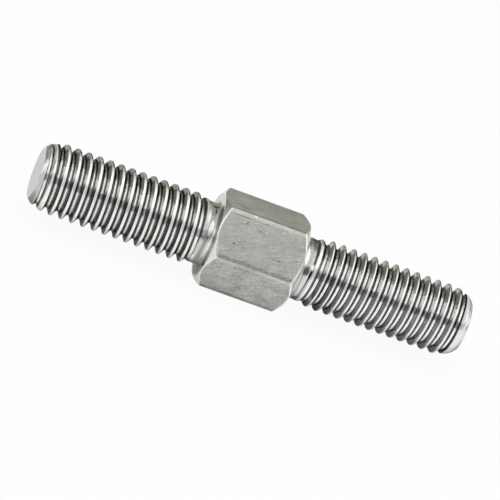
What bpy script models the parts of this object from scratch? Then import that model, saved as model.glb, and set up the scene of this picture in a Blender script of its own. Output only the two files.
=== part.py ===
# Double end stud: a hexagon in the middle, a smooth neck on each side of it,
# and a metric thread out to each end, right-hand at -X and left-hand at +X.
# The stud lies along X on one flat of its hexagon, with the origin on the
# surface below its middle. Lengths are in metres.

import math

import bmesh
import bpy

# Overall
STUD_LENGTH = 0.050

# Hexagon
HEX_ACROSS_FLATS = 0.0098
HEX_LENGTH = 0.010
HEX_END_DIAMETER = 0.0097        # circle where the corner chamfer meets the end face
HEX_CHAMFER_ANGLE = math.radians(50)   # from the axis

# Smooth necks between the hexagon and the threads
NECK_DIAMETER = 0.0070
NECK_FILLET = 0.0005             # radius at the hexagon's end face
LEFT_NECK_LENGTH = 0.00095
RIGHT_NECK_LENGTH = 0.0007

# Threads
THREAD_DIAMETER = 0.0078         # over the crests of an 8 mm thread
THREAD_PITCH = 0.00125
THREAD_DEPTH = 0.53 * THREAD_PITCH
THREAD_FLANK_ANGLE = math.radians(30)
LEFT_CREST_WIDTH = 0.21 * THREAD_PITCH
RIGHT_CREST_WIDTH = 0.15 * THREAD_PITCH
LEFT_CREST_FROM_END = 0.001114   # first crest from the end, along the top
RIGHT_CREST_FROM_END = 0.00054
LEFT_RUNOUT = 0.0012             # length in which the thread fades into the neck
RIGHT_RUNOUT = 0.0023
RUNOUT_CURVE = 1.5               # above one, it fades faster at the thread

# Ends
END_FACE_DIAMETER = 0.00565
END_CHAMFER_ANGLE = math.radians(45)
LEAD_DIAMETER = 0.0064           # the first crests rise from here to full height
LEAD_LENGTH = 0.0021

# Steps of the mesh
COLUMNS = 30                     # around the axis, a multiple of six
FILLET_STEPS = 2
SPARE_TURNS = 3                  # turns of thread drawn past each end, and cut off there
SNAP = 0.000012                  # nearer to the end of a thread than this counts as there

AXIS_HEIGHT = HEX_ACROSS_FLATS / 2
HALF_LENGTH = STUD_LENGTH / 2
HALF_HEX = HEX_LENGTH / 2

# One row a side: direction along X, neck length, run-out, crest width, first crest from the end
SIDES = (
    (-1, LEFT_NECK_LENGTH, LEFT_RUNOUT, LEFT_CREST_WIDTH, LEFT_CREST_FROM_END),
    (1, RIGHT_NECK_LENGTH, RIGHT_RUNOUT, RIGHT_CREST_WIDTH, RIGHT_CREST_FROM_END),
)


def column_angle(column):
    """Angle of a column of vertices about X, from +Y towards +Z."""
    return 2 * math.pi * column / COLUMNS


def add_vertex(bm, side, distance, radius, column):
    """Adds a vertex at a distance from the middle of the stud, towards one end."""
    angle = column_angle(column)
    return bm.verts.new((side * distance, radius * math.cos(angle), radius * math.sin(angle)))


def add_ring(bm, side, distance, radius):
    """Adds a circle of vertices round the axis."""
    return [add_vertex(bm, side, distance, radius, column) for column in range(COLUMNS)]


def add_face(bm, corners):
    """Adds a face, leaving out corners that fall together."""
    unique = []
    for corner in corners:
        if corner not in unique:
            unique.append(corner)
    if len(unique) > 2:
        bm.faces.new(unique)


def bridge(bm, first, second):
    """Joins two rings, column by column."""
    for column in range(COLUMNS):
        following = (column + 1) % COLUMNS
        add_face(bm, (first[column], first[following], second[following], second[column]))


def thread_profile(crest_width):
    """Rows of one pitch, as pairs of distance from the crest's middle and radius."""
    crest_radius = THREAD_DIAMETER / 2
    root_radius = crest_radius - THREAD_DEPTH
    half_crest = crest_width / 2
    root_start = half_crest + THREAD_DEPTH * math.tan(THREAD_FLANK_ANGLE)
    return [
        (-half_crest, crest_radius),
        (half_crest, crest_radius),
        (root_start, root_radius),
        (THREAD_PITCH - root_start, root_radius),
    ]


def thread_radius(distance, full_radius, strength):
    """Radius of a thread row, faded into the neck and lowered towards the end."""
    neck_radius = NECK_DIAMETER / 2
    faded = neck_radius + strength * (full_radius - neck_radius)
    from_end = HALF_LENGTH - distance
    chamfered = END_FACE_DIAMETER / 2 + from_end * math.tan(END_CHAMFER_ANGLE)
    lead = (LEAD_DIAMETER + (THREAD_DIAMETER - LEAD_DIAMETER) * from_end / LEAD_LENGTH) / 2
    return min(faded, chamfered, lead)


def add_thread(bm, side, start, runout, crest_width, crest_from_end, neck_ring, end_ring):
    """Adds a helical thread between the neck's ring and the end face's ring."""
    profile = thread_profile(crest_width)
    rows_per_pitch = len(profile)
    outermost_crest = HALF_LENGTH - crest_from_end + SPARE_TURNS * THREAD_PITCH
    turns = math.ceil((HALF_LENGTH - start) / THREAD_PITCH) + 2 * SPARE_TURNS
    rows = []
    for turn in range(turns, -1, -1):
        for offset, full_radius in profile:
            base = outermost_crest - turn * THREAD_PITCH + offset
            row = []
            for column in range(COLUMNS):
                quarter = column_angle(column) - math.pi / 2
                distance = base - THREAD_PITCH * quarter / (2 * math.pi)
                if distance < start + SNAP:
                    row.append(neck_ring[column])
                elif distance > HALF_LENGTH - SNAP:
                    row.append(end_ring[column])
                else:
                    strength = min(1.0, (distance - start) / runout) ** RUNOUT_CURVE
                    radius = thread_radius(distance, full_radius, strength)
                    row.append(add_vertex(bm, side, distance, radius, column))
            rows.append(row)
    for index in range(len(rows) - 1):
        inner, outer = rows[index], rows[index + 1]
        for column in range(COLUMNS - 1):
            add_face(bm, (inner[column], inner[column + 1], outer[column + 1], outer[column]))
        # The last column meets the first one a whole pitch further in
        if index >= rows_per_pitch:
            next_inner = rows[index - rows_per_pitch][0]
            next_outer = rows[index + 1 - rows_per_pitch][0]
            add_face(bm, (inner[-1], next_inner, next_outer, outer[-1]))


def add_neck(bm, side, neck_end):
    """Adds the neck and its fillet, and returns its outer and inner rings."""
    neck_radius = NECK_DIAMETER / 2
    outer_ring = add_ring(bm, side, neck_end, neck_radius)
    previous = outer_ring
    for step in range(FILLET_STEPS + 1):
        turn = math.pi / 2 * step / FILLET_STEPS
        distance = HALF_HEX + NECK_FILLET * (1 - math.sin(turn))
        radius = neck_radius + NECK_FILLET * (1 - math.cos(turn))
        ring = add_ring(bm, side, distance, radius)
        bridge(bm, previous, ring)
        previous = ring
    return outer_ring, previous


def hex_radius(column):
    """Distance of the hexagon's side from the axis, with a flat at the bottom."""
    from_flat = column_angle(column) % (math.pi / 3) - math.pi / 6
    return HEX_ACROSS_FLATS / 2 / math.cos(from_flat)


def add_hex_end(bm, side, neck_ring):
    """Adds the end face and the corner chamfer, and returns the edge of the flats."""
    end_radius = HEX_END_DIAMETER / 2
    end_ring = add_ring(bm, side, HALF_HEX, end_radius)
    bridge(bm, neck_ring, end_ring)
    flat_edge = []
    for column in range(COLUMNS):
        radius = hex_radius(column)
        distance = HALF_HEX - (radius - end_radius) / math.tan(HEX_CHAMFER_ANGLE)
        flat_edge.append(add_vertex(bm, side, distance, radius, column))
    bridge(bm, end_ring, flat_edge)
    return flat_edge


def steel_material():
    """Bright stainless steel."""
    material = bpy.data.materials.new("stainless_steel")
    material.use_nodes = True
    shader = material.node_tree.nodes["Principled BSDF"]
    shader.inputs["Base Color"].default_value = (0.60, 0.59, 0.56, 1.0)
    shader.inputs["Metallic"].default_value = 1.0
    shader.inputs["Roughness"].default_value = 0.25
    return material


def build_stud():
    """Builds the whole stud as one closed solid."""
    bm = bmesh.new()
    flat_edges = []
    for side, neck_length, runout, crest_width, crest_from_end in SIDES:
        start = HALF_HEX + neck_length
        neck_outer, neck_inner = add_neck(bm, side, start)
        end_ring = add_ring(bm, side, HALF_LENGTH, END_FACE_DIAMETER / 2)
        add_thread(bm, side, start, runout, crest_width, crest_from_end, neck_outer, end_ring)
        bm.faces.new(end_ring)
        flat_edges.append(add_hex_end(bm, side, neck_inner))
    bridge(bm, flat_edges[0], flat_edges[1])
    bmesh.ops.recalc_face_normals(bm, faces=bm.faces)
    mesh = bpy.data.meshes.new("stud")
    bm.to_mesh(mesh)
    bm.free()
    mesh.shade_smooth()
    mesh.set_sharp_from_angle(angle=math.radians(28))
    mesh.materials.append(steel_material())
    stud = bpy.data.objects.new("stud", mesh)
    stud.location = (0.0, 0.0, AXIS_HEIGHT)
    bpy.context.scene.collection.objects.link(stud)
    return stud


for old in list(bpy.data.objects):
    bpy.data.objects.remove(old)
build_stud()
bpy.context.view_layer.update()
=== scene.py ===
# Double end stud: the finished surface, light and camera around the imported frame.
# Lengths are in metres. The stud lies along X on one flat of its hexagon.
import math

import bmesh
import bpy
from mathutils import Matrix, Vector


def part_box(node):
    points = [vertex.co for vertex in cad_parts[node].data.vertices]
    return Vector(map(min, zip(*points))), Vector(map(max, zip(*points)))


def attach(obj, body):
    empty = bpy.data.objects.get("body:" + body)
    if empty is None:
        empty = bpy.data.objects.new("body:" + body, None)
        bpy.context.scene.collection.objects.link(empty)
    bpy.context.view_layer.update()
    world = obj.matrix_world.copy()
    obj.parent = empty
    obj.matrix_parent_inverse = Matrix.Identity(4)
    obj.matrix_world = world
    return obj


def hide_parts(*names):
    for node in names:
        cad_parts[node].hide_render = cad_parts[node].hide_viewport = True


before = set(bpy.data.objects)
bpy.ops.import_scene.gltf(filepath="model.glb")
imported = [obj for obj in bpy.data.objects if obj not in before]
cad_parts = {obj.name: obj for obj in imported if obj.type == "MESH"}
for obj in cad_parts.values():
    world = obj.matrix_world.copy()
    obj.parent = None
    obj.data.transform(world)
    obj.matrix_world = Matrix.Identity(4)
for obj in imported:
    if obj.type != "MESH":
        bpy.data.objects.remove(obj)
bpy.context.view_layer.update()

studLow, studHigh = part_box("stud")
halfLength = (studHigh[0] - studLow[0]) / 2
acrossFlats = studHigh[2] - studLow[2]
axisHeight = (studHigh[2] + studLow[2]) / 2
columns = 96                # steps around the stud, a multiple of twelve
millimetres = 1000.0
pitch = 0.00125


# Sizes

collar = {
    "hexLength": 0.010,
    "hexEndDiameter": 0.0097,
    "chamferAngle": math.radians(50),     # from the axis
    "cornerRadius": 0.00012,
    "cornerColumns": 2,       # columns in half of a rounded corner
    "crownWidth": 0.00045,    # each flat falls away a little beside its corners
    "crownTilt": math.radians(3),
    "crownColumns": 3,
    "edgeRound": 0.00009,     # along each side of a chamfer's edges
    "edgeSteps": 4,
    "neckDiameter": 0.0070,
    "neckFillet": 0.0005,
    "filletSteps": 6,
}

ends = {
    "faceDiameter": 0.00565,
    "rimRound": 0.00009,      # along each side of the face's edge
    "rimSteps": 4,
    "faceRings": 5,
}

thread = {
    "Diameter": 0.0078,
    "Pitch": pitch,
    "Depth": 0.53 * pitch,
    "Crest Round": 0.00024,
    "Root Round": 0.00020,
    "Run-out Curve": 1.5,     # above one, it fades faster at the thread
    "Lead Diameter": 0.0064,
    "Lead Length": 0.0021,
    "Chamfer Blend": 0.00006,
    "Rows per Pitch": 28,
}
halfHex = collar["hexLength"] / 2
threadSides = {
    "Left": {                 # the near end, right-hand
        "Side": -1.0,
        "Start": halfHex + 0.00095,
        "Run-out": 0.0012,
        "Crest from End": 0.001114,
        "Crest Width": 0.21 * pitch,
    },
    "Right": {                # the far end, left-hand
        "Side": 1.0,
        "Start": halfHex + 0.0007,
        "Run-out": 0.0023,
        "Crest from End": 0.00054,
        "Crest Width": 0.15 * pitch,
    },
}

hexEndRadius = collar["hexEndDiameter"] / 2
neckRadius = collar["neckDiameter"] / 2
faceRadius = ends["faceDiameter"] / 2
threadStop = halfLength - ends["rimRound"]


# Helpers for node trees

class Value:
    # what a node puts out: sums written with values add the math nodes for them
    def __init__(self, socket):
        self.socket = socket
        self.tree = socket.id_data

    def __add__(self, other):
        return calc("ADD", self, other)

    def __sub__(self, other):
        return calc("SUBTRACT", self, other)

    def __rsub__(self, other):
        return calc("SUBTRACT", other, self)

    def __mul__(self, other):
        return calc("MULTIPLY", self, other)

    def __truediv__(self, other):
        return calc("DIVIDE", self, other)

    def __gt__(self, other):
        return calc("GREATER_THAN", self, other)

    def __lt__(self, other):
        return calc("LESS_THAN", self, other)

    def __abs__(self):
        return calc("ABSOLUTE", self)

    __radd__ = __add__
    __rmul__ = __mul__


def plug(socket, value):
    if isinstance(value, Value):
        value.tree.links.new(value.socket, socket)
    else:
        socket.default_value = value


def addNode(tree, kind, inputs, output=0, **settings):
    # settings come first, because some change which inputs there are
    node = tree.nodes.new(kind)
    for name, setting in settings.items():
        setattr(node, name, setting)
    for key, value in inputs.items():
        plug(node.inputs[key], value)
    return Value(node.outputs[output])


def calc(operation, *values):
    tree = next(value.tree for value in values if isinstance(value, Value))
    return addNode(tree, "ShaderNodeMath", dict(enumerate(values)), operation=operation)


def hold(value, low, high):
    return calc("MINIMUM", calc("MAXIMUM", value, low), high)


def ease(value, low, high, start=0.0, stop=1.0):
    # a smooth step from low to high
    inputs = {"Value": value, "From Min": low, "From Max": high, "To Min": start, "To Max": stop}
    return addNode(value.tree, "ShaderNodeMapRange", inputs, interpolation_type="SMOOTHSTEP")


def fall(value, low, high):
    return ease(value, low, high, 1.0, 0.0)


def band(value, middle, halfWidth, softness):
    # one inside a band, falling to zero over the softness on each side
    return fall(abs(value - middle), halfWidth, halfWidth + softness)


def mix(factor, first, second, blend="MIX"):
    # a colour is a value, or a tuple of red, green and blue
    colours = [(*colour, 1.0) if isinstance(colour, tuple) else colour for colour in (first, second)]
    inputs = {0: factor, 6: colours[0], 7: colours[1]}
    return addNode(factor.tree, "ShaderNodeMix", inputs, 2, data_type="RGBA", blend_type=blend)


def join(x, y, z):
    return addNode(x.tree, "ShaderNodeCombineXYZ", {0: x, 1: y, 2: z})


def outputsOf(node):
    return {socket.name: Value(socket) for socket in node.outputs}


def split(vector):
    first = addNode(vector.tree, "ShaderNodeSeparateXYZ", {0: vector})
    return outputsOf(first.socket.node).values()


def noise(vector, scale=1.0, detail=2.0, roughness=0.5, w=None):
    inputs = {"Vector": vector, "Scale": scale, "Detail": detail, "Roughness": roughness}
    if w is None:
        return addNode(vector.tree, "ShaderNodeTexNoise", inputs)
    inputs["W"] = w
    return addNode(vector.tree, "ShaderNodeTexNoise", inputs, noise_dimensions="4D")


def floats(*labels):
    return dict.fromkeys(labels, "Float")


def newTree(name, kind, inputs, outputs):
    # the inputs and outputs give the kind of each socket by its name
    tree = bpy.data.node_groups.new(name, kind)
    for direction, sockets in (("INPUT", inputs), ("OUTPUT", outputs)):
        for label, socketKind in sockets.items():
            tree.interface.new_socket(name=label, in_out=direction, socket_type="NodeSocket" + socketKind)
    return tree, outputsOf(tree.nodes.new("NodeGroupInput"))


def putOut(tree, *values):
    groupOut = tree.nodes.new("NodeGroupOutput")
    for socket, value in zip(groupOut.inputs, values):
        plug(socket, value)
    return tree


def useGroup(tree, group, values):
    first = addNode(tree, "ShaderNodeGroup", values, node_tree=group)
    return outputsOf(first.socket.node).values()


# Effects that the materials share

def studPlaceGroup():
    # where a point of the stud is, in millimetres: along it, round it and out from its axis
    outputs = {"Position": "Vector", **floats("Along", "From Middle", "Radius", "Turn")}
    tree, size = newTree("studPlace", "ShaderNodeTree", floats("Axis Height"), outputs)
    here = addNode(tree, "ShaderNodeTexCoord", {}, "Object")
    along, across, up = (value * millimetres for value in split(here))
    up -= size["Axis Height"]
    radius = calc("SQRT", across * across + up * up)
    turn = calc("FRACT", calc("ARCTAN2", up, across) / (2 * math.pi))
    return putOut(tree, join(along, across, up), along, abs(along), radius, turn)


def mottlingGroup():
    # cloudy patches and fine speckle, about zero
    inputs = {"Vector": "Vector", **floats("Patch Scale", "Patches", "Speckle Scale", "Speckle")}
    tree, size = newTree("mottling", "ShaderNodeTree", inputs, floats("Tone"))
    patches = noise(size["Vector"], size["Patch Scale"], 4.0, 0.55) - 0.5
    speckle = noise(size["Vector"], size["Speckle Scale"], 1.0, 0.55) - 0.5
    return putOut(tree, patches * size["Patches"] + speckle * size["Speckle"])


def strokesGroup():
    # fine strokes that run along the first axis of the vector, about zero
    inputs = {"Vector": "Vector", **floats("Length", "Width", "Tilt", "Cover")}
    tree, size = newTree("strokes", "ShaderNodeTree", inputs, floats("Tone"))
    turned = {"Vector": size["Vector"], "Angle": size["Tilt"]}
    x, y, z = split(addNode(tree, "ShaderNodeVectorRotate", turned, rotation_type="Z_AXIS"))
    fine = noise(join(x / size["Length"], y / size["Width"], z), 1.0, 3.0, 0.6) - 0.5
    patchy = ease(noise(size["Vector"], 0.7, 2.0), size["Cover"], size["Cover"] + 0.25)
    return putOut(tree, fine * patchy)


def threadPlaceGroup():
    # where a point lies on the thread: pitches from the nearest crest, and which way its flank faces
    inputs = floats("Along", "From Middle", "Turn", "Pitch", "Left Crest", "Right Crest")
    outputs = {**floats("From Crest", "Facing", "On Right"), "Profile": "Vector"}
    tree, size = newTree("threadPlace", "ShaderNodeTree", inputs, outputs)
    onRight = size["Along"] > 0.0
    crest = size["Left Crest"] + (size["Right Crest"] - size["Left Crest"]) * onRight
    phase = (size["From Middle"] - crest) / size["Pitch"] + (size["Turn"] - 0.25)
    facing = calc("SIGN", phase - calc("ROUND", phase)) * (onRight * 2.0 - 1.0)
    cycle = phase * (2 * math.pi)
    profile = join(calc("COSINE", cycle), calc("SINE", cycle), 0.0)
    return putOut(tree, calc("PINGPONG", phase, 0.5), facing, onRight, profile)


studPlace = studPlaceGroup()
mottling = mottlingGroup()
strokes = strokesGroup()
threadPlace = threadPlaceGroup()


# Materials

def steelMaterial(name):
    material = bpy.data.materials.new(name)
    material.use_nodes = True
    tree = material.node_tree
    shader = tree.nodes["Principled BSDF"]
    shader.inputs["Metallic"].default_value = 1.0
    place = useGroup(tree, studPlace, {"Axis Height": axisHeight * millimetres})
    return material, tree, shader, place


def dressShader(tree, shader, colour, tone, roughness, height, depth):
    # the tone darkens or lightens the colour by its share
    toned = addNode(tree, "ShaderNodeVectorMath", {0: colour, "Scale": tone + 1.0}, operation="SCALE")
    plug(shader.inputs["Base Color"], toned)
    plug(shader.inputs["Roughness"], roughness)
    plug(shader.inputs["Normal"], addNode(tree, "ShaderNodeBump", {"Height": height, "Distance": depth}))


# Painted highlights and painted shade on turned faces, with a few darker streaks on the left-hand
# shoulder: side, distance from the middle less radius, degrees up, half size of each, tone
neckMarks = [
    (-1, 2.06, 32, 0.26, 15, 1.20),
    (-1, 2.22, 24, 0.14, 8, 0.50),
    (-1, 1.92, -6, 0.15, 26, 0.75),
    (-1, 2.10, 14, 0.07, 2.5, -0.80),
    (-1, 2.10, 80, 0.50, 3.0, -0.85),
    (-1, 2.30, 62, 0.20, 6, -0.25),
    (-1, 1.99, 67, 0.09, 9, -0.85),
    (-1, 0.95, 62, 0.22, 10, -0.45),
    (-1, 0.40, 43, 0.32, 9, -0.50),
    (-1, 0.38, 64, 0.09, 3, -0.55),
    (-1, 1.32, 26, 0.10, 6, 0.60),
    (-1, 1.30, 14, 0.13, 4, -0.45),
    (-1, 22.34, 60, 0.16, 17, 0.50),
    (-1, 1.53, -2, 0.30, 24, 0.80),
    (-1, 1.45, 4, 0.30, 12, 0.70),
    (-1, 1.52, 27, 0.20, 7, 1.10),
    (-1, 2.05, 102, 0.60, 11, 0.45),
    (-1, 1.42, 50, 0.12, 14, -0.50),
    (1, 1.95, 44, 0.22, 19, 1.25),
    (1, 1.86, 19, 0.16, 8, 0.90),
    (1, 2.05, 78, 0.22, 9, -0.30),
    (1, 1.92, -8, 0.14, 26, 0.70),
    (1, 2.35, 17, 0.30, 6, -0.65),
]

# Painted highlights and painted shade, with a few darker patches, on the threads' first and last turns:
# the same, with the distance from the middle alone
turnMarks = [
    (-1, 6.05, 12.5, 0.35, 3.5, -0.45),
    (-1, 6.12, 52, 0.12, 14, 0.50),
    (-1, 6.30, -30, 0.25, 7, -0.35),
    (1, 5.85, 19, 0.26, 9, -0.60),
    (1, 6.17, 19, 0.10, 7, 0.40),
    (1, 6.36, 27, 0.12, 6, 1.60),
    (1, 5.90, 84, 0.34, 9, -0.35),
    (1, 6.13, 69, 0.28, 9, -0.30),
    (-1, 24.92, 28, 0.10, 9, 0.35),
    (-1, 24.93, 14, 0.12, 3.5, -0.28),
    (-1, 24.87, 60, 0.16, 18, -0.68),
    (-1, 24.62, 64, 0.15, 14, -0.42),
    (-1, 24.14, 78, 0.17, 26, -0.48),
    (-1, 23.97, 42, 0.14, 14, -0.42),
    (-1, 24.63, -8, 0.06, 34, -0.12),
    (-1, 24.75, -44, 0.34, 24, -0.30),
    (1, 24.78, 68, 0.16, 10, -0.30),
]
markEdge = (0.4, 1.6)         # squared distances from a mark's middle between which it fades
nickEdge = (0.4, 1.5)
markRagged = 1.2


def ovalReach(x, y, middleX, middleY, halfX, halfY):
    # squared distance from the middle of an oval, one on its edge
    dx = (x - middleX) / halfX
    dy = (y - middleY) / halfY
    return dx * dx + dy * dy


def markTone(marks, distance, place):
    # the sum of a list of marks, with ragged edges
    position, along, fromMiddle, radius, turn = place
    ragged = (noise(position, 5.0) - 0.5) * markRagged
    total = 0.0
    for side, middle, degrees, halfLong, halfTurn, strength in marks:
        reach = ovalReach(distance, turn, middle, (180 - degrees) / 360, halfLong, halfTurn / 360)
        total += ease(reach + ragged, *markEdge, strength, 0.0) * (along * side > 0.0)
    return total


# Of a pair in square brackets, the first is for the left-hand thread and the second for the other one.
# A tone darkens or lightens by its share, and limits say where something starts and where it ends.
rolled = {
    # painted highlight along the crests, painted shade on the roots of the upper side and painted light on
    # those of the lower side
    "crest": (0.97, 0.96, 0.94),
    "highRoot": (0.72, 0.71, 0.69),
    "lowRoot": (0.92, 0.915, 0.905),
    # painted light on the left flanks of the upper side
    "leftFlank": [(0.98, 0.96, 0.93), (0.99, 0.975, 0.95)],
    "shadedLowFlank": [(0.26, 0.257, 0.255), (0.80, 0.795, 0.77)],    # painted shade on the left flanks of the lower side
    # painted shade on the flanks that face right
    "rightFlank": [(0.17, 0.165, 0.16), (0.21, 0.215, 0.225)],
    "runout": [(0.62, 0.61, 0.59), (0.44, 0.435, 0.42)],
    "lowRunout": [(0.70, 0.69, 0.67), (0.64, 0.64, 0.63)],
    "cut": [(0.60, 0.59, 0.57), (0.86, 0.86, 0.85)],      # the end chamfers, the right-hand one painted lighter
    "highBrown": (0.29, 0.282, 0.26),        # darker brown high up on the roots and flanks
    "slate": (0.33, 0.355, 0.37),         # painted shade, bluish, over the lowest flanks of the right-hand end
    "edgeTint": (0.35, 0.35, 0.34),       # what a surface seen nearly edge-on keeps of its shine

    # tones
    "streaks": 0.55,
    "tipSpeckle": 2.2,                    # on the crests and flanks along the top
    # painted shade along the top of the tips
    "tips": -0.26,
    "tipShade": -0.60,                    # and on their far side
    # painted highlight on the left sides of the right-hand end's tips
    "tipGlow": 0.60,
    "rootBand": [-0.18, -0.46],           # a painted dark reflection across the roots, above the middle
    "firstFlanks": -0.40,                 # more painted shade on the low left flanks nearest to the right-hand neck
    # painted shade on the roots' undersides
    "under": -0.60,
    "lowFlankLift": 1.0,                        # painted light in a band on the low left flanks of the near end, over their painted shade
    "upperRightLight": [0.30, 0.55],             # painted light on the right flanks of the upper side
    "footShade": -0.78,                       # painted shade in the crease at the foot of the left flanks
    "endShade": -0.60,                    # on the last left flank of the right-hand end
    "lip": -0.85,                         # painted shade: a dark line beside the near end's chamfer

    # limits in millimetres from the thread's end
    "lastTurn": (1.3, 1.8),
    "cleanEnd": (1.0, 1.5),
    "clean": 0.85,                        # what is left out there of the high brown and the painted grey tips

    # limits in millimetres from the thread's start
    "firstTurn": (1.3, 1.7),
    "grown": (0.8, 1.6),
    "faded": (0.0, 1.0),
    "footShadeFrom": (0.25, 0.5),
    "footShadeSpreads": (0.9, 1.6),
    "firstFlanksEnd": (3.4, 5.2),

    # millimetres under the end chamfer's cone, and under the lead's
    "cutEdge": (0.03, 0.09),
    "lipPlace": (0.13, 0.04, 0.04),       # middle, half width and softness
    "leadEdge": (0.04, 0.10),

    # limits in millimetres above the axis, or a middle, half width and softness there
    "brownedHigh": (2.45, 3.10),
    "highBrownRagged": 1.5,
    "lipHeight": (1.9, 2.7),
    "spreadHeight": (-0.5, 0.8),
    "slateHeight": (-2.6, -1.7),
    "underHeight": (-2.55, -2.15),
    "rootBandHeight": (1.02, 0.20, 0.25),
    "rootBandRagged": 0.9,
    "lowFlankLiftHeight": (-1.95, 0.20, 0.40),
    "lowerSideEdge": (0.36, 0.56),              # where the lower side ends, as a share of the radius above the axis

    # turns from the back horizon, up and over
    "overTop": (0.229, 0.043, 0.028),
    "pastTop": (0.250, 0.268),

    # pitches from the crest's middle
    "crestShine": [0.02, -0.01],          # past the flat crest
    "firstCrestShine": 0.06,              # more of it on the right-hand end's first turn
    "crestSoft": (-0.03, 0.02),
    "tipShaded": (-0.06, 0.03),
    "tipGlows": (-0.30, -0.06),
    "rootEdge": 0.37,
    "rootSoft": 0.03,
    "footShadeWidth": 0.02,                   # to each side of the left flank's foot
    "highFootShadeWidth": 0.035,
    "footShadeSpread": 0.05,                  # how much wider it is at a thread's start
    "footShadeSoft": 0.02,

    "flankBrown": 0.34,                  # how strong the high brown is on the flanks, and in the roots
    "rootBrown": 0.94,
    "streakWind": 2.4,                    # how fine the streaks are across the thread
    "streakDrift": (0.30, 0.30, 0.35),    # and how they drift across, up and along
    "patches": {"Patch Scale": 0.9, "Patches": 0.30, "Speckle Scale": 9.0, "Speckle": 0.16},
    "crestRoughness": 0.38,
    "rootRoughness": 0.20,
    "upperFlankRoughness": 0.85,                 # of the left flanks on the upper side
    "patchRoughness": 0.25,
    "streakDepth": 0.000010,
    "waves": 8.0,                         # the surface's slow waves, in streak depths
}


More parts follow.
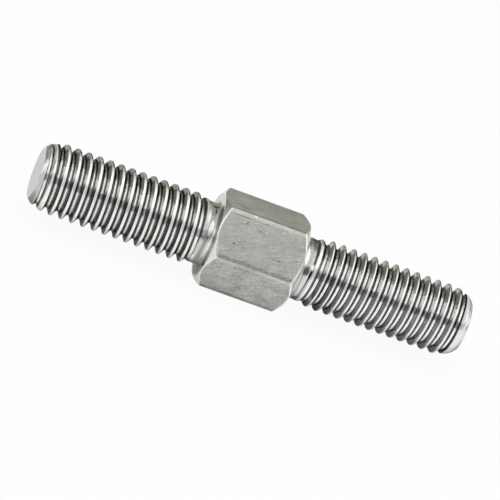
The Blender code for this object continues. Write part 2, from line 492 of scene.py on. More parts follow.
def rolledThreadMaterial():
    material, tree, shader, place = steelMaterial("rolledThread")
    shader.inputs["Specular Tint"].default_value = (*rolled["edgeTint"], 1.0)
    position, along, fromMiddle, radius, turn = place
    _, across, up = split(position)
    sides = threadSides.values()
    crests = [(halfLength - size["Crest from End"]) * millimetres for size in sides]
    fromCrest, facing, onRight, profile = useGroup(tree, threadPlace, {
        "Along": along, "From Middle": fromMiddle, "Turn": turn, "Pitch": pitch * millimetres,
        "Left Crest": crests[0], "Right Crest": crests[1]})
    onLeft = 1.0 - onRight

    def bySide(left, right):
        if isinstance(left, tuple):
            return mix(onRight, left, right)
        return onRight * (right - left) + left

    # how far along the thread
    fromEnd = halfLength * millimetres - fromMiddle
    fromStart = fromMiddle - bySide(*(size["Start"] * millimetres for size in sides))
    lastTurn = fall(fromEnd, *rolled["lastTurn"])
    firstTurn = fall(fromStart, *rolled["firstTurn"]) * onRight
    grown = ease(fromStart, *rolled["grown"])

    # crests, roots and flanks
    widths = [size["Crest Width"] / pitch / 2 for size in sides]
    crestEdge = bySide(*(width + shine for width, shine in zip(widths, rolled["crestShine"])))
    crestEdge += lastTurn * (0.02 - up * 0.04) + firstTurn * rolled["firstCrestShine"]
    onCrest = fall(fromCrest - crestEdge, *rolled["crestSoft"])
    rootEdge = rolled["rootEdge"]
    onRoot = ease(fromCrest, rootEdge - rolled["rootSoft"], rootEdge + rolled["rootSoft"])
    facesRight = facing > 0.0
    facesLeft = 1.0 - facesRight
    toRight = fromCrest * facing
    onFlank = 1.0 - onCrest - onRoot
    onLeftFlank = onFlank * facesLeft

    # the end chamfer, the lowered turns beside it, and the lip between chamfer and thread
    underCone = fromEnd + faceRadius * millimetres - radius
    onCut = fall(underCone, *rolled["cutEdge"])
    # painted shade along the lip
    onLip = band(underCone, *rolled["lipPlace"]) * onLeft * fall(up, *rolled["lipHeight"])
    leadSlope = (thread["Diameter"] - thread["Lead Diameter"]) / thread["Lead Length"] / 2
    underLead = fromEnd * leadSlope + thread["Lead Diameter"] / 2 * millimetres - radius
    onLead = fall(underLead, *rolled["leadEdge"]) * lastTurn * onRight

    # streaks wind with the thread, and patches of them are deeper
    # the thread's lower side, where the left flanks get painted shade and the roots painted light
    lowerSide = fall(calc("SINE", turn * (2 * math.pi)), *rolled["lowerSideEdge"])
    upperSide = 1.0 - lowerSide
    inward, outward, _ = split(profile)
    wind = rolled["streakWind"]
    driftAcross, driftUp, driftAlong = rolled["streakDrift"]
    wound = join(inward * wind, outward * wind, across * driftAcross)
    streak = noise(wound, 2.0, 3.0, 0.6, up * driftUp + along * driftAlong) - 0.5
    speckle = noise(position, 3.2, 3.0, 0.65) - 0.5
    [patches] = useGroup(tree, mottling, {"Vector": position, **rolled["patches"]})
    tone = streak * rolled["streaks"] + patches + markTone(turnMarks, fromMiddle, place)

    # along the top the tips are painted grey and speckled, with painted shade on their right sides and, at
    # the right-hand end, a painted highlight on their left sides, but not near the left-hand end
    awayFromEnd = 1.0 - fall(fromEnd, *rolled["cleanEnd"]) * onLeft * rolled["clean"]
    onTip = band(turn, *rolled["overTop"]) * (1.0 - onRoot) * awayFromEnd * grown
    tone += onTip * (speckle * rolled["tipSpeckle"] + rolled["tips"])
    tone += onTip * ease(toRight, *rolled["tipShaded"]) * rolled["tipShade"]
    tone += onTip * onRight * fall(toRight, *rolled["tipGlows"]) * rolled["tipGlow"]

    # painted shade and light on the roots and flanks
    # a painted dark reflection in a band across the roots
    raggedUp = up + speckle * rolled["rootBandRagged"]
    onBand = band(raggedUp, *rolled["rootBandHeight"]) * onRoot * grown
    tone += onBand * bySide(*rolled["rootBand"])
    # more painted shade on the low left flanks near the right-hand neck
    firstFlanks = fall(fromStart, *rolled["firstFlanksEnd"]) * onRight * lowerSide * onLeftFlank
    tone += firstFlanks * rolled["firstFlanks"]
    # painted shade on the roots' undersides
    tone += fall(up, *rolled["underHeight"]) * onRoot * rolled["under"]
    # painted light in a band over the painted shade of the near end's low left flanks
    tone += band(up, *rolled["lowFlankLiftHeight"]) * onLeftFlank * onLeft * rolled["lowFlankLift"]
    # painted light on the right flanks of the upper side
    tone += upperSide * onFlank * facesRight * grown * bySide(*rolled["upperRightLight"])
    tone += lastTurn * onRight * onLeftFlank * (1.0 - onLead) * rolled["endShade"]
    tone += onLip * rolled["lip"]

    # painted shade in the crease along the foot of the left flanks, wider at the thread's start
    starting = fall(fromStart, *rolled["footShadeSpreads"]) * ease(up, *rolled["spreadHeight"])
    spread = starting * rolled["footShadeSpread"]
    footWidth = ease(lowerSide, 0.0, 1.0, rolled["highFootShadeWidth"], rolled["footShadeWidth"]) + spread
    footMiddle = rootEdge - rolled["rootSoft"] - spread
    foot = band(fromCrest, footMiddle, footWidth, rolled["footShadeSoft"]) * facesLeft
    tone += foot * ease(fromStart, *rolled["footShadeFrom"]) * rolled["footShade"]

    # colours, from the flanks to what lies over them
    # painted bluish shade over the lowest flanks of the right-hand end
    slate = fall(up, *rolled["slateHeight"]) * onRight
    # painted shade on the left flanks of the lower side
    shadedLowFlank = mix(slate, bySide(*rolled["shadedLowFlank"]), rolled["slate"], "MULTIPLY")
    colour = mix(lowerSide, bySide(*rolled["leftFlank"]), shadedLowFlank)
    colour = mix(facesRight, colour, bySide(*rolled["rightFlank"]))
    colour = mix(onRoot, colour, mix(lowerSide, rolled["highRoot"], rolled["lowRoot"]))
    # darker brown high up, stronger in the roots and past the top
    thick = calc("MAXIMUM", onRoot, ease(turn, *rolled["pastTop"]))
    thick = thick * (rolled["rootBrown"] - rolled["flankBrown"]) + rolled["flankBrown"]
    raggedUp = up + (streak + speckle) * rolled["highBrownRagged"]
    brownedHigh = ease(raggedUp, *rolled["brownedHigh"]) * awayFromEnd * thick
    colour = mix(brownedHigh, colour, rolled["highBrown"], "MULTIPLY")
    colour = mix(onCrest, colour, rolled["crest"])
    runout = mix(lowerSide, bySide(*rolled["runout"]), bySide(*rolled["lowRunout"]))
    colour = mix(ease(fromStart, *rolled["faded"]), runout, colour)
    colour = mix(calc("MAXIMUM", onCut, onLead), colour, bySide(*rolled["cut"]))

    roughness = rolled["rootRoughness"] + patches * rolled["patchRoughness"]
    roughness += onCrest * (rolled["crestRoughness"] - rolled["rootRoughness"])
    roughness += upperSide * onLeftFlank * (rolled["upperFlankRoughness"] - rolled["rootRoughness"])
    height = (noise(position, 0.9, 1.0) - 0.5) * rolled["waves"] + streak
    dressShader(tree, shader, colour, tone, roughness, height, rolled["streakDepth"])
    return material


turned = {
    "face": (0.458, 0.470, 0.483),        # the stud's two end faces
    "shoulder": (0.54, 0.565, 0.57),
    # painted light on the chamfers
    "chamfer": (0.78, 0.78, 0.765),
    # painted shade on the necks
    "neck": (0.37, 0.367, 0.35),
    # painted highlights along the edges
    "edge": (0.95, 0.95, 0.94),
    # painted highlight along the end faces' rims
    "rim": (0.66, 0.665, 0.67),
    "lowShoulderShade": (0.15, 0.155, 0.145),        # painted shade on the shoulders' lower side
    "lowShoulderShadeHeight": (-1.6, -0.9),          # millimetres above the axis between which it fades
    "lowShoulderShadeRim": (0.45, 0.15),             # and inside the shoulder's rim
    "edgeWidth": 0.07,                    # millimetres to each side of a painted edge highlight
    "edgeCore": 0.6,                      # share of it that is fully bright
    "rimCore": 0.4,
    "footEdge": (0.09, 0.03),             # millimetres inside the flats
    "seam": 0.03,                         # from the shoulder to where chamfer and neck begin
    "shoulderBand": (0.02, 0.05),
    "grain": {"Length": 1.3, "Width": 0.10, "Tilt": 1.25, "Cover": 0.30},
    "patches": {"Patch Scale": 0.7, "Patches": 0.22, "Speckle Scale": 8.0, "Speckle": 0.10},
    "lines": 0.28,                        # tones of the tool's lines and of the grain
    "grainTone": 0.25,
    "lineScale": (11.0, 9.0),             # how fine the lines are, out from the axis and along it
    "chamferShadePlace": (0.315, 0.042, 0.045),   # painted shade, in turns, on the left-hand chamfer beside the top flat
    "chamferShade": -0.52,
    "chamferShadeFoot": 0.75,                     # what of it is left out along the front flat
    "behindPlace": (0.357, 0.050, 0.040),  # and painted shade on the shoulder just in front of it
    "behind": -0.22,
    "underHeight": (-2.75, -2.30),
    "under": -0.50,                       # painted shade on the necks' undersides
    "roughness": 0.27,
    "neckRoughness": [0.34, 0.22],        # left-hand and right-hand
    "patchRoughness": 0.4,
    "lineDepth": 0.000008,
}


def turnedSteelMaterial():
    material, tree, shader, place = steelMaterial("turnedSteel")
    position, along, fromMiddle, radius, turn = place
    _, _, up = split(position)
    hexEnd = halfHex * millimetres
    endRadius = hexEndRadius * millimetres
    onRight = along > 0.0
    onFace = fromMiddle > (halfLength - 2 * ends["rimRound"]) * millimetres
    onNeck = (fromMiddle > hexEnd + turned["seam"]) * (1.0 - onFace)
    onShoulder = band(fromMiddle, hexEnd, *turned["shoulderBand"])
    onChamfer = fromMiddle < hexEnd - turned["seam"]

    # painted highlights along the edges, and at the right-hand side along the chamfer's edge on the flats
    # too
    width = turned["edgeWidth"]
    onEdgeHighlight = band(radius, endRadius, width * turned["edgeCore"], width) * (fromMiddle < hexEnd + width)
    # painted highlight along the end faces' rims
    onRimHighlight = band(radius, faceRadius * millimetres, width * turned["rimCore"], width) * onFace
    out = calc("COSINE", calc("PINGPONG", turn - 1 / 12, 1 / 12) * (2 * math.pi)) * radius
    flat = acrossFlats / 2 * millimetres
    onFoot = ease(out, *(flat - inside for inside in turned["footEdge"]))
    onEdgeHighlight = calc("MAXIMUM", onEdgeHighlight, onFoot * onRight * onChamfer)

    inner = fall(radius, *(endRadius - inside for inside in turned["lowShoulderShadeRim"]))
    # painted shade on the shoulders' lower side
    lowShoulderShaded = fall(noise(position, 0.9, 3.0) * 0.9 + up, *turned["lowShoulderShadeHeight"]) * inner * onShoulder
    colour = mix(onShoulder, turned["neck"], turned["shoulder"])
    masks = {"lowShoulderShade": lowShoulderShaded, "chamfer": onChamfer, "face": onFace, "rim": onRimHighlight, "edge": onEdgeHighlight}
    for key, mask in masks.items():
        colour = mix(mask, colour, turned[key])

    # the tool's lines run round the axis: rings on a face, bands on a neck
    outScale, alongScale = turned["lineScale"]
    lines = noise(join(radius * outScale, fromMiddle * alongScale, 0.0), 1.0, 2.0, 0.6) - 0.5
    [grain] = useGroup(tree, strokes, {"Vector": position, **turned["grain"]})
    [patches] = useGroup(tree, mottling, {"Vector": position, **turned["patches"]})
    tone = lines * turned["lines"] + patches + grain * turned["grainTone"]
    frontFoot = onFoot * (turn > 1 / 3)
    # painted shade on the left-hand chamfer beside the top flat, and on the shoulder in front of it
    chamferShade = band(turn, *turned["chamferShadePlace"]) * onChamfer * (1.0 - frontFoot * turned["chamferShadeFoot"])
    behind = band(turn, *turned["behindPlace"]) * onShoulder * inner
    tone += (chamferShade * turned["chamferShade"] + behind * turned["behind"]) * (1.0 - onRight)
    # painted shade on the necks' undersides
    tone += fall(up, *turned["underHeight"]) * onNeck * turned["under"]
    tone += markTone(neckMarks, fromMiddle - radius, place)

    left, right = turned["neckRoughness"]
    onNeckMore = onRight * (right - left) + (left - turned["roughness"])
    roughness = onNeck * onNeckMore + turned["roughness"] + patches * turned["patchRoughness"]
    dressShader(tree, shader, colour, tone, roughness, lines + grain * 0.6, turned["lineDepth"])
    return material


drawn = {
    "flat": (0.452, 0.467, 0.436),
    "warm": (0.466, 0.464, 0.430),        # a faint brownish tint in patches
    "cornerLight": (0.512, 0.520, 0.488),         # painted highlight beside the corners, over the flats' crowned edges
    "cornerLightWidth": (0.294, 0.462),           # millimetres from the corner between which it fades
    "cornerLightShare": 0.6,
    "ragged": 0.30,                       # how uneven the edges of the corner light and the strips are
    "lowerStripShade": -0.34,                       # painted shade: the darker strip along the lower side of a flat
    "stripFrom": 0.08,
    "stripWidth": 0.36,
    "stripSoft": 0.10,
    "gleam": 0.10,                        # and the painted highlight along its upper side
    "patches": {"Patch Scale": 0.55, "Patches": 0.55, "Speckle Scale": 4.5, "Speckle": 0.42},
    "leaning": {"Length": 1.5, "Width": 0.16, "Tilt": 0.38, "Cover": 0.30},
    "lengthwise": {"Length": 4.5, "Width": 0.07, "Tilt": 0.0, "Cover": 0.42},
    "leaningTone": 0.60,
    "lengthwiseTone": 0.55,
    "contrast": (1.25, 1.9),              # of all that, above and below the front corner
    "nicks": 1.35,
    "farSide": (-0.12, 0.02),             # tones of the top flat's far side and of its middle
    "farSideFrom": (-2.9, -0.6),
    "roughness": 0.50,
    "cornerRoughness": 0.44,
    "patchRoughness": 0.25,
    "strokeDepth": 0.000010,
}

# Small marks on the front flat: along, across, half length, half width, tone
nicks = [
    (-3.02, -0.79, 0.13, 0.060, -0.70),
    (-2.95, -0.54, 0.08, 0.060, 0.35),
    (-2.51, -0.30, 0.08, 0.060, 0.32),
    (-2.40, -0.43, 0.09, 0.055, -0.60),
    (-1.87, -0.89, 0.14, 0.035, -0.45),
    (-1.96, -0.24, 0.22, 0.030, -0.35),
    (-2.28, 1.68, 0.12, 0.060, -0.50),
    (-2.63, 1.71, 0.12, 0.085, 0.45),
    (-0.65, 1.39, 0.24, 0.030, -0.40),
    (0.06, 1.50, 0.10, 0.180, 0.16),
    (-1.57, 2.70, 0.12, 0.100, 1.50),
    (-2.95, 2.29, 1.45, 0.040, -0.42),
    (-0.40, 2.27, 0.90, 0.040, -0.26),
    (-2.10, 2.12, 0.78, 0.040, 0.28),
    (1.66, 2.10, 0.38, 0.040, 0.26),
    (1.94, 2.08, 0.10, 0.070, 0.35),
    (2.22, -1.02, 0.26, 0.045, -0.80),
    (1.70, -1.03, 0.19, 0.035, -0.50),
    (1.88, -1.21, 0.28, 0.035, 0.32),
    (1.90, 0.52, 0.05, 0.220, 0.14),
    (1.86, -1.98, 0.06, 0.260, 0.14),
    (4.11, -0.40, 0.08, 0.060, -0.45),
    (4.26, -0.67, 0.06, 0.050, -0.40),
    (4.55, -0.45, 0.06, 0.060, 0.40),
    (4.41, -1.22, 0.05, 0.060, -0.35),
]

# Middles of two flats, in turns from the back horizon up and over
topFlat = 3 / 12
frontFlat = 5 / 12
flatSoft = (0.02, 0.01)       # half width of the turns that count as that flat, and softness
flatStep = 7.3                # millimetres from one flat's pattern to the next one's


def drawnFlatMaterial():
    material, tree, shader, place = steelMaterial("drawnFlat")
    position, along, fromMiddle, radius, turn = place
    # which flat a point is on, and how far from that flat's middle line it is
    sixth = calc("FLOOR", turn * 6.0)
    middle = (sixth + 0.5) / 6.0
    across = calc("SINE", (turn - middle) * (2 * math.pi)) * radius
    halfSide = acrossFlats * millimetres / 2 * math.tan(math.pi / 6)
    fromCorner = halfSide - abs(across)
    surface = join(along, across, sixth * flatStep)

    ragged = (noise(surface, 1.6, 3.0) - 0.5) * drawn["ragged"]
    # painted highlight beside the corners
    onCornerLight = fall(fromCorner + ragged, *drawn["cornerLightWidth"])
    colour = mix(ease(noise(surface, 0.22, 2.0), 0.42, 0.58), drawn["flat"], drawn["warm"])
    colour = mix(onCornerLight * drawn["cornerLightShare"], colour, drawn["cornerLight"])

    [patches] = useGroup(tree, mottling, {"Vector": surface, **drawn["patches"]})
    [leaning] = useGroup(tree, strokes, {"Vector": surface, **drawn["leaning"]})
    [lengthwise] = useGroup(tree, strokes, {"Vector": surface, **drawn["lengthwise"]})
    tone = leaning * drawn["leaningTone"] + patches + lengthwise * drawn["lengthwiseTone"]
    tone *= ease(turn, 0.48, 0.52, *drawn["contrast"])

    # painted shade and highlight in strips along both sides of each flat, nicks on the front one, and a
    # darker far side on the top one
    halfStrip = drawn["stripWidth"] / 2
    soft = drawn["stripSoft"]
    onStrip = band(fromCorner + ragged * 0.5, drawn["stripFrom"] + halfStrip, halfStrip - soft / 2, soft)
    tone += onStrip * ease(across, -0.4, 0.4, drawn["gleam"], drawn["lowerStripShade"])
    marks = 0.0
    for nickAlong, nickUp, halfLong, halfWide, strength in nicks:
        reach = ovalReach(along, across, nickAlong, -nickUp, halfLong, halfWide)
        marks += ease(reach, *nickEdge, strength, 0.0)
    marks *= band(middle, frontFlat, *flatSoft) * drawn["nicks"]
    farSide = ease(across, *drawn["farSideFrom"], *drawn["farSide"])
    tone += marks + band(middle, topFlat, *flatSoft) * farSide

    roughness = drawn["roughness"] + patches * drawn["patchRoughness"]
    roughness += onCornerLight * (drawn["cornerRoughness"] - drawn["roughness"])
    height = leaning + lengthwise * 0.7 + marks
    dressShader(tree, shader, colour, tone, roughness, height, drawn["strokeDepth"])
    return material


rolledThread = rolledThreadMaterial()
turnedSteel = turnedSteelMaterial()
drawnFlat = drawnFlatMaterial()
print("materials ready")


# Hexagon, necks and end faces: rings of vertices, one vertex a column

def roundDirections():
    step = 2 * math.pi / columns
    return [(math.cos(step * column), math.sin(step * column)) for column in range(columns)]


def hexagonOutline():
    # half of one side, from its corner to its middle, as pairs along the side and out from the axis
    radius = collar["cornerRadius"]
    tilt = collar["crownTilt"]
    width = collar["crownWidth"]
    corner = math.pi / 6
    apothem = acrossFlats / 2
    centre = (apothem - width * math.tan(tilt) / 2 - radius * math.cos(tilt)) / math.cos(corner)
    half = []
    for step in range(collar["cornerColumns"] + 1):
        turn = corner + (tilt - corner) * step / collar["cornerColumns"]
        out = centre * math.cos(corner) + radius * math.cos(turn)
        half.append((centre / 2 + radius * math.sin(turn), out))
    crownStart = half[-1][0] - width
    for step in range(collar["crownColumns"] - 1, -1, -1):
        past = width * step / collar["crownColumns"]
        half.append((crownStart + past, apothem - past * past * math.tan(tilt) / (2 * width)))
    flatColumns = columns // 12 - len(half) + 1
    for step in range(flatColumns - 1, -1, -1):
        half.append((crownStart * step / flatColumns, apothem))

    # from a corner on +Y, each side runs to its middle and on to the next corner
    side = [(-along, out) for along, out in half] + half[-2:0:-1]
    outline = []
    for index in range(6):
        middle = math.pi / 3 * (index + 0.5)
        for along, out in side:
            outline.append((out * math.cos(middle) - along * math.sin(middle),
                            out * math.sin(middle) + along * math.cos(middle)))
    return outline


def roundedCorner(before, corner, after, steps):
    # points of a curve that turns from one line into the next
    points = []
    for step in range(steps + 1):
        t = step / steps
        weights = ((1 - t) ** 2, 2 * t * (1 - t), t ** 2)
        points.append(tuple(
            sum(w * p[axis] for w, p in zip(weights, (before, corner, after))) for axis in (0, 1)))
    return points


def addRing(mesh, side, profile, directions):
    # profile holds one pair of distance from the middle and radius for each column
    return [mesh.verts.new((side * distance, radius * across, axisHeight + radius * up))
            for (distance, radius), (across, up) in zip(profile, directions)]


def bridgeRings(mesh, rings, slot):
    for first, second in zip(rings, rings[1:]):
        for column in range(columns):
            following = (column + 1) % columns
            face = mesh.faces.new((first[column], first[following], second[following], second[column]))
            face.material_index = slot


def chamferProfile(radius):
    # the end face's edge, the chamfer and its edge on the flat, at one radius of the hexagon
    slope = 1 / math.tan(collar["chamferAngle"])
    drop = radius - hexEndRadius
    slant = min(collar["edgeRound"], 0.45 * drop)
    along = slant * slope
    foot = halfHex - drop * slope
    faceEdge = roundedCorner((halfHex, hexEndRadius - slant), (halfHex, hexEndRadius),
                             (halfHex - along, hexEndRadius + slant), collar["edgeSteps"])
    flatEdge = roundedCorner((foot + along, radius - slant), (foot, radius), (foot - 1.4 * slant, radius),
                             collar["edgeSteps"])
    return faceEdge + flatEdge


def buildHexagonHalf(mesh, side, threadStart):
    fillet = collar["neckFillet"]
    circle = roundDirections()
    outline = hexagonOutline()
    hexRadii = [math.hypot(*point) for point in outline]
    hexDirections = [(point[0] / radius, point[1] / radius) for point, radius in zip(outline, hexRadii)]
    rings = [addRing(mesh, side, [(threadStart, neckRadius)] * columns, circle)]
    for step in range(collar["filletSteps"] + 1):
        turn = math.pi / 2 * step / collar["filletSteps"]
        spot = (halfHex + fillet * (1 - math.sin(turn)), neckRadius + fillet * (1 - math.cos(turn)))
        rings.append(addRing(mesh, side, [spot] * columns, circle))
    profiles = [chamferProfile(radius) for radius in hexRadii]
    for row in range(len(profiles[0])):
        rings.append(addRing(mesh, side, [profile[row] for profile in profiles], hexDirections))
    bridgeRings(mesh, rings, 0)
    return rings[-1]


def buildEndFace(mesh, side):
    rim = ends["rimRound"]
    circle = roundDirections()
    before = (halfLength - rim, faceRadius + rim)
    after = (halfLength, faceRadius - rim)
    spots = roundedCorner(before, (halfLength, faceRadius), after, ends["rimSteps"])
    for step in range(ends["faceRings"] - 1, 0, -1):
        spots.append((halfLength, after[1] * step / ends["faceRings"]))
    rings = [addRing(mesh, side, [spot] * columns, circle) for spot in spots]
    bridgeRings(mesh, rings, 0)
    centre = mesh.verts.new((side * halfLength, 0.0, axisHeight))
    for column in range(columns):
        mesh.faces.new((rings[-1][column], rings[-1][(column + 1) % columns], centre))


def buildCollar():
    mesh = bmesh.new()
    flatEdges = []
    for size in threadSides.values():
        flatEdges.append(buildHexagonHalf(mesh, size["Side"], size["Start"]))
        buildEndFace(mesh, size["Side"])
    bridgeRings(mesh, flatEdges, 1)
    data = bpy.data.meshes.new("stud_finished")
    mesh.to_mesh(data)
    mesh.free()
    data.materials.append(turnedSteel)
    data.materials.append(drawnFlat)
    piece = bpy.data.objects.new("stud_finished", data)
    bpy.context.scene.collection.objects.link(piece)
    return piece


# Threads: a grid wound round the axis, one pitch on for each turn

flankSlope = math.tan(math.radians(30))
spareTurns = 2
weldDistance = 0.0000015
onThread = "onThread"         # the attribute that marks the threads' faces


def threadTree():
    inputs = floats(*threadSides["Left"], *thread, "Neck Diameter", "Stop", "Half Length", "Face Diameter",
                    "Axis Height")
    tree, size = newTree("woundThread", "GeometryNodeTree", inputs, {"Geometry": "Geometry"})

    # rows enough for the whole thread, with spare turns that the limits cut off
    turns = calc("CEIL", (size["Half Length"] - size["Start"]) / size["Pitch"]) + (2 * spareTurns + 1)
    rows = turns * size["Rows per Pitch"]
    grid = addNode(tree, "GeometryNodeMeshGrid", {
        "Size X": 1.0, "Size Y": 1.0, "Vertices X": rows + 1, "Vertices Y": columns + 1})
    x, y, _ = split(addNode(tree, "GeometryNodeInputPosition", {}))
    row = calc("ROUND", (x + 0.5) * rows)
    turn = calc("ROUND", (y + 0.5) * columns) / columns
    angle = turn * (2 * math.pi)
    phase = row / size["Rows per Pitch"]

    # distance from the middle of the stud, held between the neck and the end
    firstCrest = size["Half Length"] - size["Crest from End"]
    pitches = (phase - turn) - (turns - (spareTurns + 0.25))
    distance = hold(pitches * size["Pitch"] + firstCrest, size["Start"], size["Stop"])

    # profile: a flat crest, straight flanks and a rounded root
    crestRadius = size["Diameter"] * 0.5
    rootRadius = crestRadius - size["Depth"]
    pastCrest = calc("PINGPONG", phase, 0.5) * size["Pitch"] - size["Crest Width"] * 0.5
    crested = calc("SMOOTH_MIN", crestRadius - pastCrest / flankSlope, crestRadius, size["Crest Round"])
    profile = calc("SMOOTH_MAX", crested, rootRadius, size["Root Round"])

    # the thread fades into the neck, and its last turns are lowered and cut by the end chamfer
    neck = size["Neck Diameter"] * 0.5
    strength = hold((distance - size["Start"]) / size["Run-out"], 0.0, 1.0)
    faded = (profile - neck) * calc("POWER", strength, size["Run-out Curve"]) + neck
    fromEnd = size["Half Length"] - distance
    chamfer = size["Face Diameter"] * 0.5 + fromEnd
    rise = (size["Diameter"] - size["Lead Diameter"]) / size["Lead Length"]
    lead = (rise * fromEnd + size["Lead Diameter"]) * 0.5
    cut = calc("SMOOTH_MIN", chamfer, lead, size["Chamfer Blend"])
    radius = calc("SMOOTH_MIN", faded, cut, size["Chamfer Blend"])

    spot = join(distance * size["Side"], radius * calc("COSINE", angle),
                radius * calc("SINE", angle) + size["Axis Height"])
    wound = addNode(tree, "GeometryNodeSetPosition", {"Geometry": grid, "Position": spot})
    marked = addNode(tree, "GeometryNodeStoreNamedAttribute", {
        "Geometry": wound, "Name": onThread, "Value": True}, data_type="BOOLEAN", domain="FACE")
    return putOut(tree, marked)


def studTree(wound):
    # joins a wound thread to each side of the collar, and welds them into one surface
    own = list(threadSides["Left"])
    labels = [item.name for item in wound.interface.items_tree if item.in_out == "INPUT"]
    shared = [label for label in labels if label not in own]
    inputs = {"Geometry": "Geometry", "Material": "Material", **floats("Weld", *shared)}
    inputs.update(floats(*(side + " " + label for side in threadSides for label in own)))
    tree, size = newTree("finishedStud", "GeometryNodeTree", inputs, {"Geometry": "Geometry"})
    parts = tree.nodes.new("GeometryNodeJoinGeometry")
    plug(parts.inputs[0], size["Geometry"])
    for side in threadSides:
        values = {label: size[side + " " + label if label in own else label] for label in labels}
        plug(parts.inputs[0], addNode(tree, "GeometryNodeGroup", values, node_tree=wound))
    welded = addNode(tree, "GeometryNodeMergeByDistance", {
        "Geometry": Value(parts.outputs[0]), "Distance": size["Weld"]})
    realized = addNode(tree, "GeometryNodeRealizeInstances", {0: welded})
    marked = addNode(tree, "GeometryNodeInputNamedAttribute", {"Name": onThread}, data_type="BOOLEAN")
    painted = addNode(tree, "GeometryNodeSetMaterial", {
        "Geometry": realized, "Selection": marked, "Material": size["Material"]})
    return putOut(tree, painted)


def windThreads(piece):
    tree = studTree(threadTree())
    values = {
        **thread, "Neck Diameter": collar["neckDiameter"], "Stop": threadStop, "Half Length": halfLength,
        "Face Diameter": ends["faceDiameter"], "Axis Height": axisHeight, "Material": rolledThread,
        "Weld": weldDistance,
    }
    for side, size in threadSides.items():
        values.update({side + " " + label: value for label, value in size.items()})
    modifier = piece.modifiers.new("threads", "NODES")
    modifier.node_group = tree
    for item in tree.interface.items_tree:
        if item.in_out == "INPUT" and item.name in values:
            modifier[item.identifier] = values[item.name]
    bpy.context.view_layer.update()
    depsgraph = bpy.context.evaluated_depsgraph_get()
    plain = bpy.data.meshes.new_from_object(piece.evaluated_get(depsgraph), depsgraph=depsgraph)
    piece.modifiers.remove(modifier)
    piece.data = plain
    mesh = bmesh.new()
    mesh.from_mesh(plain)
    bmesh.ops.recalc_face_normals(mesh, faces=mesh.faces)
    openEdges = sum(1 for edge in mesh.edges if len(edge.link_faces) != 2)
    mesh.to_mesh(plain)
    mesh.free()
    plain.shade_smooth()
    plain.set_sharp_from_angle(angle=math.radians(40))
    print("stud mesh:", len(plain.polygons), "faces,", openEdges, "open edges")


stud = buildCollar()
windThreads(stud)
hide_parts("stud")
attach(stud, "root")
print("stud finished")


# Floor

floorLook = {
    "reach": 2.0,
    "paper": (0.90, 0.90, 0.90),
    "seenWhite": 0.93,        # share of plain white that the camera sees in it
    "mirroredNear": 0.42,     # and that the steel sees close beside the stud, less there as a painted shadow
    "mirroredFar": 0.95,      # and further out
    "near": 0.002,
    "far": 0.006,
}


def buildFloor():
    reach = floorLook["reach"]
    corners = [(-reach, -reach, 0), (reach, -reach, 0), (reach, reach, 0), (-reach, reach, 0)]
    data = bpy.data.meshes.new("floor")
    data.from_pydata(corners, [], [(0, 1, 2, 3)])
    piece = bpy.data.objects.new("floor", data)
    bpy.context.scene.collection.objects.link(piece)
    material = bpy.data.materials.new("paleFloor")
    material.use_nodes = True
    tree = material.node_tree
    tree.nodes.clear()
    matte = addNode(tree, "ShaderNodeBsdfDiffuse", {"Color": (*floorLook["paper"], 1.0)})
    glow = addNode(tree, "ShaderNodeEmission", {"Strength": 1.0})
    x, y, _ = split(addNode(tree, "ShaderNodeTexCoord", {}, "Object"))
    # a painted shadow: the floor that the steel sees is darker close beside the stud
    fromStud = calc("MAXIMUM", abs(y), abs(x) - halfLength)
    white = ease(fromStud, floorLook["near"], floorLook["far"], floorLook["mirroredNear"],
                 floorLook["mirroredFar"])
    ray = outputsOf(tree.nodes.new("ShaderNodeLightPath"))
    mirrored = calc("MAXIMUM", ray["Is Glossy Ray"], ray["Is Transmission Ray"]) * white
    seen = ray["Is Camera Ray"] * floorLook["seenWhite"]
    shade = addNode(tree, "ShaderNodeMixShader", {0: calc("MAXIMUM", seen, mirrored), 1: matte, 2: glow})
    plug(tree.nodes.new("ShaderNodeOutputMaterial").inputs["Surface"], shade)
    data.materials.append(material)


buildFloor()
print("floor laid")


# Light: one large soft panel overhead, and a room that is darker towards the camera

panel = {
    "height": 0.60,
    "front": 32.0,            # degrees above the horizon of its edge in front
    "back": 84.0,             # and of its edge behind
    "width": 2.40,
    "level": 1.0,
}

# Degrees over the stud from the front horizon to the back one, and the room's colour there
room = [
    (0.0, (0.35, 0.345, 0.355)),
    (25.0, (0.35, 0.345, 0.355)),
    (34.0, (0.25, 0.25, 0.25)),
    (92.0, (0.25, 0.25, 0.25)),
    (98.0, (1.20, 1.20, 1.16)),
    (112.0, (0.85, 0.85, 0.80)),
    (126.0, (0.54, 0.535, 0.48)),
    (152.0, (0.74, 0.735, 0.65)),
    (157.0, (0.24, 0.235, 0.21)),
    (167.0, (0.24, 0.235, 0.21)),
    (172.0, (0.68, 0.675, 0.63)),
]
roomSides = {
    "left": (1.15, 1.14, 1.12),
    "leftLow": (0.95, 0.95, 0.93),        # bright strips low down on both sides
    "lowFrom": 0.17,                      # heights on a unit sphere
    "lowTo": 0.30,
    "right": (0.22, 0.22, 0.22),
    "rightLow": (0.95, 0.95, 0.95),
    "from": 0.70,
    "full": 0.95,
}


def buildPanel():
    front = panel["height"] / math.tan(math.radians(panel["front"]))
    back = panel["height"] / math.tan(math.radians(panel["back"]))
    lamp = bpy.data.lights.new("panel", "AREA")
    lamp.shape = "RECTANGLE"
    lamp.size = panel["width"]
    lamp.size_y = front + back
    lamp.energy = panel["level"] * math.pi * lamp.size * lamp.size_y
    piece = bpy.data.objects.new("panel", lamp)
    piece.location = (0.0, (back - front) / 2, panel["height"])
    bpy.context.scene.collection.objects.link(piece)


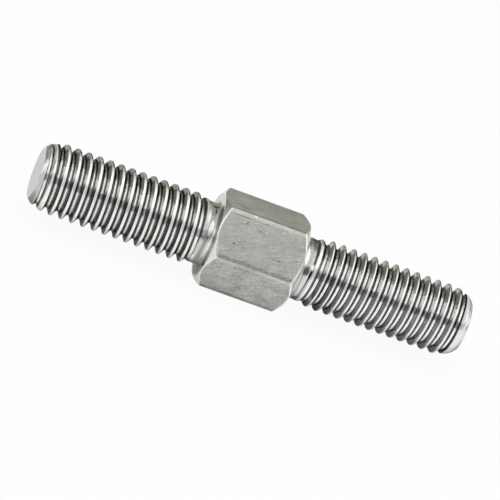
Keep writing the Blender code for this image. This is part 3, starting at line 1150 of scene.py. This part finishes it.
def buildRoom():
    world = bpy.data.worlds.new("room")
    bpy.context.scene.world = world
    world.use_nodes = True
    tree = world.node_tree
    x, y, z = split(addNode(tree, "ShaderNodeTexCoord", {}, "Generated"))
    ramp = tree.nodes.new("ShaderNodeValToRGB")
    plug(ramp.inputs[0], calc("ARCTAN2", calc("MAXIMUM", z, 0.0), y * -1.0) / math.pi)
    stops = ramp.color_ramp.elements
    while len(stops) < len(room):
        stops.new(0.5)
    for stop, (degrees, colour) in zip(stops, room):
        stop.position = degrees / 180
        stop.color = (*colour, 1.0)
    raised = ease(z, roomSides["lowFrom"], roomSides["lowTo"])
    left, right = (mix(raised, roomSides[label + "Low"], roomSides[label]) for label in ("left", "right"))
    sideways = ease(abs(x), roomSides["from"], roomSides["full"])
    colour = mix(sideways, Value(ramp.outputs[0]), mix(x > 0.0, left, right))
    ray = outputsOf(tree.nodes.new("ShaderNodeLightPath"))
    colour = mix(ray["Is Camera Ray"], colour, (1.0, 1.0, 1.0))
    plug(tree.nodes["Background"].inputs["Color"], colour)


buildPanel()
buildRoom()
print("lights set")


# Camera

camera = {
    "turn": 11.15,            # degrees the stud's axis leans out of the picture's plane
    "elevation": 20.60,       # degrees above the floor, across the stud
    "roll": 24.07,
    "distance": 0.4944,
    "lens": 328.8,
    "sensor": 36.0,
    "right": -0.000145,       # its shift across and up the picture
    "up": -0.000033,
}


def buildCamera():
    turn = math.radians(camera["turn"])
    elevation = math.radians(camera["elevation"])
    roll = math.radians(camera["roll"])
    back = Vector((-math.sin(turn), -math.cos(turn) * math.cos(elevation),
                   math.cos(turn) * math.sin(elevation)))
    level = Vector((0, 0, 1)).cross(back).normalized()
    rise = back.cross(level)
    right = level * math.cos(roll) + rise * math.sin(roll)
    up = rise * math.cos(roll) - level * math.sin(roll)
    data = bpy.data.cameras.new("camera")
    data.lens = camera["lens"]
    data.sensor_width = camera["sensor"]
    data.clip_start = 0.01
    data.clip_end = 20.0
    piece = bpy.data.objects.new("camera", data)
    centre = Vector((0, 0, axisHeight))
    place = centre + back * camera["distance"] + right * camera["right"] + up * camera["up"]
    turned = Matrix((right, up, back)).transposed().to_4x4()
    piece.matrix_world = Matrix.Translation(place) @ turned
    bpy.context.scene.collection.objects.link(piece)
    bpy.context.scene.camera = piece


buildCamera()
bpy.context.scene.view_settings.view_transform = "Standard"
print("camera placed")
